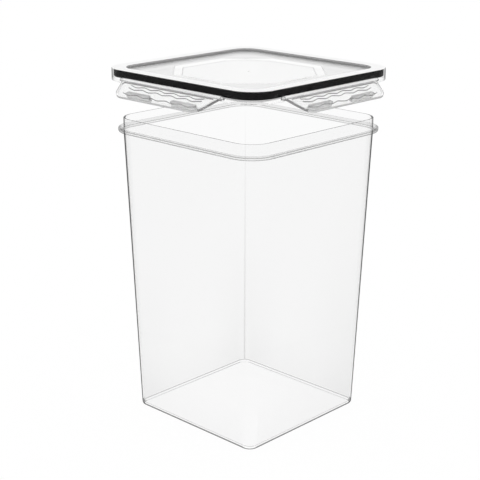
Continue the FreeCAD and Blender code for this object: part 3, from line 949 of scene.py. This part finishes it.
@dataclass
class Lid:
    """The lid: a rim over the seal's channel, a plug wall, a sunk panel with a dish, and the hinge ears."""

    half: float = 94.5
    corner: float = 25.0
    panel_half: float = 82.8
    plug_half: float = 84.2
    channel_half: float = 92.5
    inner_flat: float = 65.2
    rim_top: float = 5.9
    skirt: float = -5.1
    channel_top: float = 4.5
    panel_top: float = 2.7
    panel_bottom: float = 0.9
    dish_half: float = 65.0
    dish_side_half: float = 30.5
    dish_slope: float = 8.0
    dish_depth: float = 1.2
    gate_radius: float = 1.3
    gate_height: float = 0.4
    gate_turns: int = 20
    panel_border: float = 6.0
    outer_round: float = 1.1
    edge_round: float = 0.6
    foot_round: float = 0.5
    crease_round: float = 8.0
    # Shares of a face's direction upwards that tell a level face from one that is about upright.
    level_turn: float = 0.9
    upright_turn: float = 0.5

    def profile(self) -> list[Bend]:
        """Draws the lid's cut edge.

        Returns:
            Its corners, from the panel over the rim, round the channel and in under the panel.
        """
        outer = self.half - self.corner
        inner = self.inner_flat
        inside = self.panel_half - self.panel_border
        return [
            Bend(inside, self.panel_top, 0.0, inner),
            Bend(self.panel_half, self.panel_top, self.edge_round, inner),
            Bend(self.panel_half, self.rim_top, self.edge_round, inner),
            Bend(self.half, self.rim_top, self.outer_round, outer),
            Bend(self.half, self.skirt, self.foot_round, outer),
            Bend(self.channel_half, self.skirt, self.foot_round, outer),
            Bend(self.channel_half, self.channel_top, self.foot_round, outer),
            Bend(self.plug_half, self.channel_top, self.foot_round, inner),
            Bend(self.plug_half, self.skirt, self.foot_round, inner),
            Bend(self.panel_half, self.skirt, self.foot_round, inner),
            Bend(self.panel_half, self.panel_bottom, self.foot_round, inner),
            Bend(inside, self.panel_bottom, 0.0, inner),
        ]

    def octagon(self, shape: BMesh, shrink: float, level: float) -> list[BMVert]:
        """Adds an octagon inside the dish's edge.

        Args:
            shape: The shape that gets the points.
            shrink: How far inside the dish's edge it lies.
            level: Its level.

        Returns:
            The points.
        """
        far = self.dish_half - shrink
        near = self.dish_side_half - shrink * math.tan(math.pi / 8)
        quarter = [(far, -near), (far, near)]
        return [shape.verts.new(Matrix.Rotation(math.radians(side.value), 3, "Z") @ Vector((*point, level)))
                for side in Side for point in quarter]

    def dish(self, shape: BMesh, edge: Sequence[BMVert], level: float) -> list[BMVert]:
        """Adds the sloped border of the dish below a panel's face.

        Args:
            shape: The shape that gets the faces.
            edge: The panel's outer loop.
            level: The level of the panel's face.

        Returns:
            The loop of the dish's floor.
        """
        low = level - self.dish_depth
        soft = self.crease_round
        slope = soft_step(Bend(0.0, level, soft), Bend(self.dish_slope, low, soft))
        loops = [self.octagon(shape, bend.across, bend.level) for bend in slope]
        fill(shape, edge, loops[0])
        bridge(shape, loops)
        return loops[-1]

    def gate(self, shape: BMesh, floor: Sequence[BMVert]) -> None:
        """Closes the dish's floor round the small round gate mark at its middle.

        Args:
            shape: The shape that gets the faces.
            floor: The loop of the dish's floor.
        """
        low = self.panel_top - self.dish_depth
        high = low + self.gate_height
        edge = Bend(self.gate_radius, high, self.gate_height / 2)
        loops = []
        for bend in rounded([Bend(self.gate_radius, low), edge, Bend(0.0, high)], closed=False)[:-1]:
            points = circle(bend.across, self.gate_turns)
            loops.append([shape.verts.new((*point, bend.level)) for point in points])
        fill(shape, floor, loops[0])
        bridge(shape, loops)
        shape.faces.new(loops[-1])

    def finish_of(self, face: bpy.types.MeshPolygon, level: float) -> LidFinish:
        """Picks the finish of one face.

        Args:
            face: A face of the finished mesh.
            level: The sealing plane's height.

        Returns:
            The finish of that part of the lid.
        """
        place = face.center / MM
        up = place.z - level
        rise = face.normal.z
        over = [max(abs(length) - self.inner_flat, 0.0) for length in place.xy]
        within = math.hypot(*over) < self.panel_half - self.inner_flat + 2 * NEAR
        plug = within and up < self.panel_bottom - self.dish_depth - NEAR
        if plug or (rise > self.level_turn and up > self.rim_top - NEAR):
            return LidFinish.RIM
        if not within and abs(rise) < self.upright_turn and face.normal.xy.dot(place.xy) > 0:
            return LidFinish.SKIRT
        if not within or rise < -self.upright_turn:
            return LidFinish.CLEAR
        if up > self.panel_top + NEAR:
            return LidFinish.RECESS
        straight = self.dish_half - max(abs(place.x), abs(place.y))
        slanted = (self.dish_half + self.dish_side_half - abs(place.x) - abs(place.y)) / math.sqrt(2)
        deep = min(straight, slanted)
        crease = self.crease_round * self.dish_depth / self.dish_slope / 2
        if min(abs(deep), abs(deep - self.dish_slope)) < crease:
            return LidFinish.CREASE
        if 0 < deep < self.dish_slope:
            return LidFinish.SLOPE
        return LidFinish.PANEL if deep < 0 else LidFinish.DISH

    def build(self, level: float, hinge: Hinge, spacing: float, finishes: Sequence[bpy.types.Material]
              ) -> bpy.types.Object:
        """Sweeps the rim, fills the panel and joins the ears to the skirt.

        Args:
            level: The sealing plane's height.
            hinge: The hinge that the ears are for.
            spacing: Half the distance between the middles of a pair of ears.
            finishes: The lid's materials in the order of their places.

        Returns:
            The finished piece.
        """
        shape = bmesh.new()
        rings = [square_ring(shape, bend) for bend in rounded(self.profile(), closed=False)]
        bridge(shape, rings)
        self.gate(shape, self.dish(shape, rings[0], self.panel_top))
        shape.faces.new(self.dish(shape, rings[-1], self.panel_bottom))
        ears = hinge.ear()
        spread = ears.modifiers.new("Ears", "NODES")
        spread.node_group = ears_on_sides()
        values = {"Half Spacing": spacing, "Sides": len(Side), "Finish": finishes[LidFinish.CLEAR]}
        for item in spread.node_group.interface.items_tree:
            if item.in_out == "INPUT" and item.name in values:
                spread[item.identifier] = values[item.name]
        plain = bpy.data.objects.new("ears", evaluated_mesh(ears))
        bpy.context.scene.collection.objects.link(plain)
        mesh = united(mesh_object("lid_shape", shape), plain)
        piece = finished_piece("lid_cover_clear", mesh, Matrix.Translation((0, 0, level)), finishes)
        for face in mesh.polygons:
            face.material_index = self.finish_of(face, level)
        return piece


@dataclass
class Flap:
    """A locking flap: a tapered plate with a raised border, zigzag ribs, two beads, a barrel and pins."""

    half: float = 61.0
    length: float = 22.0
    taper: float = 10.5
    inside: float = 1.4
    top: float = 1.2
    free_corner: float = 12.0
    border: float = 2.2
    border_height: float = 1.0
    border_top: float = 3.1
    zigzag_levels: tuple[float, ...] = (3.7, 7.2, 14.7)
    zigzag_width: float = 1.1
    zigzag_step: float = 9.0
    zigzag_rise: float = 2.2
    zigzag_height: float = 0.55
    zigzag_steps: int = 10
    zigzag_round: float = 6.0
    zigzag_end_round: float = 0.4
    zigzag_slope: float = 0.25
    zigzag_foot_round: float = 0.1
    zigzag_crown_round: float = 0.12
    zigzag_margin: float = 0.5
    bead_half: float = 15.0
    bead_width_half: float = 1.9
    bead_offset: float = 28.0
    bead_drop: float = 13.7
    bead_height: float = 5.3
    bead_corner: float = 1.8
    bead_round: float = 1.2
    edge_round: float = 0.5
    root_round: float = 0.3
    # Shares of a face's direction, outwards or towards the free edge, that tell its finish.
    crown_turn: float = 0.9
    bead_turn: float = 0.5
    tip_turn: float = 0.6

    def plate(self) -> list[Bend]:
        """Draws the plate's outline.

        Returns:
            Its corners, anticlockwise seen from outside.
        """
        end = self.half - self.taper
        return [Bend(-end, -self.length, self.free_corner), Bend(end, -self.length, self.free_corner),
                Bend(self.half, self.top), Bend(-self.half, self.top)]

    def sunk(self) -> list[Bend]:
        """Draws the outline of the sunk face inside the border.

        Returns:
            Its corners, anticlockwise seen from outside.
        """
        lean = self.taper / self.length
        slant = self.border * math.hypot(1.0, lean)
        top_half = self.half - self.border_top * lean - slant
        low = self.length - self.border
        low_half = top_half - (low - self.border_top) * lean
        corner = self.free_corner - self.border
        return [Bend(-low_half, -low, corner), Bend(low_half, -low, corner),
                Bend(top_half, -self.border_top, self.border), Bend(-top_half, -self.border_top, self.border)]

    def zigzag(self, drop: float) -> list[Bend]:
        """Draws the outline of a zigzag rib.

        Args:
            drop: How far below the hinge the rib's upper edge starts.

        Returns:
            The outline's corners, rounded so that both edges stay one width apart.
        """
        start = -self.zigzag_step * self.zigzag_steps / 2
        edges: tuple[list[Bend], list[Bend]] = ([], [])
        for number in range(self.zigzag_steps + 1):
            at_end = number in (0, self.zigzag_steps)
            for edge, bends in enumerate(edges):
                inner = number % 2 == edge
                wide = self.zigzag_round + (self.zigzag_width if inner else 0.0)
                level = -drop - self.zigzag_rise * (number % 2) - self.zigzag_width * edge
                radius = self.zigzag_end_round if at_end else wide
                bends.append(Bend(start + self.zigzag_step * number, level, radius))
        return edges[1] + edges[0][::-1]

    def bead(self, offset: float) -> list[Bend]:
        """Draws the outline of a locking bead.

        Args:
            offset: Its middle along the hinge.

        Returns:
            The outline's corners.
        """
        ends = (offset - self.bead_half, offset + self.bead_half)
        low = -self.bead_drop - self.bead_width_half
        high = -self.bead_drop + self.bead_width_half
        corners = ((ends[0], low), (ends[1], low), (ends[1], high), (ends[0], high))
        return [Bend(across, level, self.bead_corner) for across, level in corners]

    def layers(self, shape: BMesh, outline: Sequence[Bend], steps: Sequence[Bend]) -> list[list[BMVert]]:
        """Adds a skin of one outline at several insets.

        Args:
            shape: The shape that gets the faces.
            outline: The outline's corners.
            steps: An inset and a depth for each loop.

        Returns:
            The first and the last loop.
        """
        loops = []
        for step in steps:
            points = rounded(inset(outline, step.across), closed=True)
            loops.append([shape.verts.new((point.across, step.level, point.level)) for point in points])
        bridge(shape, loops)
        return [loops[0], loops[-1]]

    def shape(self) -> bpy.types.Object:
        """Builds the plate with everything on its two faces.

        Returns:
            An object that hangs below the hinge's line, at the origin.
        """
        shape = bmesh.new()
        out = -self.border_height
        soft = self.edge_round
        rim = soft_step(Bend(0.0, out, soft), Bend(0.0, self.inside, soft), come_from=1.0)
        outer, inner = self.layers(shape, self.plate(), rim)
        root = self.root_round
        edge, floor = self.layers(shape, self.sunk(), soft_step(Bend(0.0, out, root), Bend(0.0, 0.0, root)))
        fill(shape, outer, edge)
        grip = soft_step(Bend(0.0, 0.0, self.zigzag_foot_round),
                         Bend(self.zigzag_slope, -self.zigzag_height, self.zigzag_crown_round))
        feet = []
        for drop in self.zigzag_levels:
            foot, crown = self.layers(shape, self.zigzag(drop), grip)
            fill(shape, crown)
            feet.append(foot)
        fill(shape, floor, *feet)
        tip = self.inside + self.bead_height
        rise = soft_step(Bend(0.0, self.inside, root), Bend(0.0, tip, self.bead_round))
        feet = []
        for offset in (-self.bead_offset, self.bead_offset):
            foot, crown = self.layers(shape, self.bead(offset), rise)
            fill(shape, crown)
            feet.append(foot)
        fill(shape, inner, *feet)
        return mesh_object("flap_shape", shape)

    def finish_of(self, face: bpy.types.MeshPolygon, hinge: Hinge) -> FlapFinish:
        """Picks the finish of one face.

        Args:
            face: A face of the flap, which hangs at the origin.
            hinge: The line it turns on.

        Returns:
            The finish of that part of the flap.
        """
        across, depth, up = face.center
        if depth > self.inside + NEAR and up < -hinge.barrel and face.normal.z > -self.bead_turn:
            return FlapFinish.BEAD
        reach = self.zigzag_step * self.zigzag_steps / 2 + self.zigzag_margin
        highest = self.border_top + self.root_round + NEAR
        lowest = self.zigzag_levels[-1] + self.zigzag_rise + self.zigzag_width + 2 * NEAR
        raised = -self.zigzag_height < depth < -NEAR / 10
        if abs(across) < reach and highest < -up < lowest and raised and face.normal.y > -self.crown_turn:
            return FlapFinish.RIB
        at_tip = up < -self.length + self.border and depth < self.inside
        return FlapFinish.TIP if at_tip and face.normal.z < -self.tip_turn else FlapFinish.PLATE

    def build(self, hinge: Hinge, level: float, opening: float, finishes: Sequence[bpy.types.Material]
              ) -> dict[Side, bpy.types.Object]:
        """Makes the flap once and sets a copy on each side of the lid.

        Args:
            hinge: The line it turns on.
            level: The sealing plane's height.
            opening: How far it is swung out, in degrees.
            finishes: The flap's materials in the order of their places.

        Returns:
            The finished piece for each side.
        """
        mesh = united(self.shape(), hinge.shaft(self.half))
        looks = [self.finish_of(face, hinge) for face in mesh.polygons]
        pieces = {}
        for side in Side:
            place = (Matrix.Rotation(math.radians(side.value), 4, "Z")
                     @ Matrix.Translation((0, -hinge.out, level + hinge.drop))
                     @ Matrix.Rotation(math.radians(-opening), 4, "X"))
            piece = finished_piece(f"flap_{side.label}_clear", mesh.copy(), place, finishes)
            piece.data.polygons.foreach_set("material_index", looks)
            pieces[side] = piece
        bpy.data.meshes.remove(mesh)
        return pieces


@dataclass
class Studio:
    """The floor, the light and the camera.

    The aim is how far the view is moved to the right and up, and the height that it starts from. The lift is
    the floor's own white, and the glosses are the shares of white that a reflection sees.
    """

    azimuth: float = 43.75
    elevation: float = 17.5
    roll: float = 0.21
    distance: float = 1153.6
    focal_pixels: float = 1220.2
    aim: tuple[float, float, float] = (-7.33, 23.32, 142.25)
    sight_m: float = 100.0
    floor_half: float = 9000.0
    floor_gap: float = 0.2
    floor_colour: str = "#313131"
    lift: float = 0.97
    floor_gloss: float = 0.35
    sky_gloss: float = 0.95

    def camera(self) -> None:
        """Sets the camera at the photograph's viewing angle."""
        turn = math.radians(self.azimuth)
        rise = math.radians(self.elevation)
        back = Vector((math.sin(turn) * math.cos(rise), -math.cos(turn) * math.cos(rise), math.sin(rise)))
        level = Vector((math.cos(turn), math.sin(turn), 0.0))
        tilt = Matrix.Rotation(math.radians(self.roll), 3, back)
        right = tilt @ level
        up = tilt @ back.cross(level)
        eye = Vector((0, 0, self.aim[2])) + right * self.aim[0] + up * self.aim[1] + back * self.distance
        data = bpy.data.cameras.new("Photograph")
        data.sensor_width = SENSOR_MM
        data.lens = self.focal_pixels * SENSOR_MM / PHOTO_PIXELS
        data.clip_end = self.sight_m
        view = bpy.data.objects.new("Photograph", data)
        view.matrix_world = Matrix.Translation(eye * MM) @ Matrix((right, up, back)).transposed().to_4x4()
        bpy.context.scene.collection.objects.link(view)
        bpy.context.scene.camera = view

    def seen(self, tree: bpy.types.NodeTree, gloss: float) -> bpy.types.NodeSocket:
        """Adds the share of the background's white that each kind of ray sees.

        Args:
            tree: The tree that gets the nodes.
            gloss: The share that a reflection sees.

        Returns:
            A socket that is one for a straight look, through glass and for soft light, and less in a gloss.
        """
        path = add_node(tree, "ShaderNodeLightPath").outputs
        share = add_node(tree, "ShaderNodeMath", {
            0: path["Is Glossy Ray"], 1: gloss}, operation="MULTIPLY").outputs[0]
        for kind in ("Is Camera Ray", "Is Transmission Ray", "Is Diffuse Ray"):
            share = add_node(tree, "ShaderNodeMath", {
                0: share, 1: path[kind]}, operation="MAXIMUM").outputs[0]
        return share

    def floor(self) -> None:
        """Lays a pale floor that takes the object's shadow and otherwise reads white."""
        shape = bmesh.new()
        bmesh.ops.create_grid(shape, x_segments=1, y_segments=1, size=self.floor_half)
        floor = mesh_object("Floor", shape)
        floor.data.transform(Matrix.Scale(MM, 4) @ Matrix.Translation((0, 0, -self.floor_gap)))
        material = bpy.data.materials.new("Matt paper")
        material.use_nodes = True
        tree = material.node_tree
        tree.nodes.clear()
        paper = add_node(tree, "ShaderNodeBsdfDiffuse", {"Color": linear(self.floor_colour)})
        share = self.seen(tree, self.floor_gloss)
        lift = add_node(tree, "ShaderNodeMath", {0: share, 1: self.lift}, operation="MULTIPLY")
        glow = add_node(tree, "ShaderNodeEmission", {"Strength": lift.outputs[0]})
        both = add_node(tree, "ShaderNodeAddShader", {0: paper.outputs[0], 1: glow.outputs[0]})
        add_node(tree, "ShaderNodeOutputMaterial", {"Surface": both.outputs[0]})
        floor.data.materials.append(material)

    def light(self) -> None:
        """Surrounds the object with an even white studio."""
        world = bpy.data.worlds.new("White studio")
        world.use_nodes = True
        tree = world.node_tree
        tree.nodes.clear()
        share = self.seen(tree, self.sky_gloss)
        sky = add_node(tree, "ShaderNodeBackground", {"Color": (1, 1, 1, 1), "Strength": share})
        add_node(tree, "ShaderNodeOutputWorld", {"Surface": sky.outputs[0]})
        bpy.context.scene.world = world

    def build(self) -> None:
        """Makes the stage."""
        self.camera()
        self.floor()
        self.light()
        bpy.context.scene.view_settings.view_transform = "Standard"


def settle(piece: bpy.types.Object, node: str, body: str) -> None:
    """Puts a piece in the place of a solid of the frame.

    Args:
        piece: The finished piece.
        node: The solid that it stands for.
        body: The moving body that it rides on.
    """
    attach(piece, body)
    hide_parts(node)
    LOG.info("%s stands for %s with %d faces", piece.name, node, len(piece.data.polygons))


def main() -> None:
    """Builds the canister's pieces in order, then the stage."""
    logging.basicConfig(level=logging.INFO, format="%(message)s")
    lid = Lid()
    flap = Flap()
    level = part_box("lid_cover")[1].z / MM - lid.rim_top
    front = next(joint for joint in frame["joints"] if joint["name"] == "front_hinge")
    hinge = Hinge(out=-front["pos_m"][1] / MM, drop=front["pos_m"][2] / MM - level)
    # A flap hangs straight down at its lower limit, so at rest it is swung out by as much.
    opening = -front["range_deg"][0]
    settle(Tub().build(dressing(TUB_FINISHES)), "canister", "tub")
    spacing = flap.half + hinge.ear_gap + hinge.ear_thickness / 2
    cover = lid.build(level, hinge, spacing, dressing(LID_FINISHES))
    settle(cover, "lid_cover", "lid")
    settle(Seal().build(level, Silicone().material()), "gasket", "lid")
    for side, piece in flap.build(hinge, level, opening, dressing(FLAP_FINISHES)).items():
        settle(piece, f"flap_{side.label}", f"{side.label}_flap")
    Studio().build()


if __name__ == "__main__":
    main()
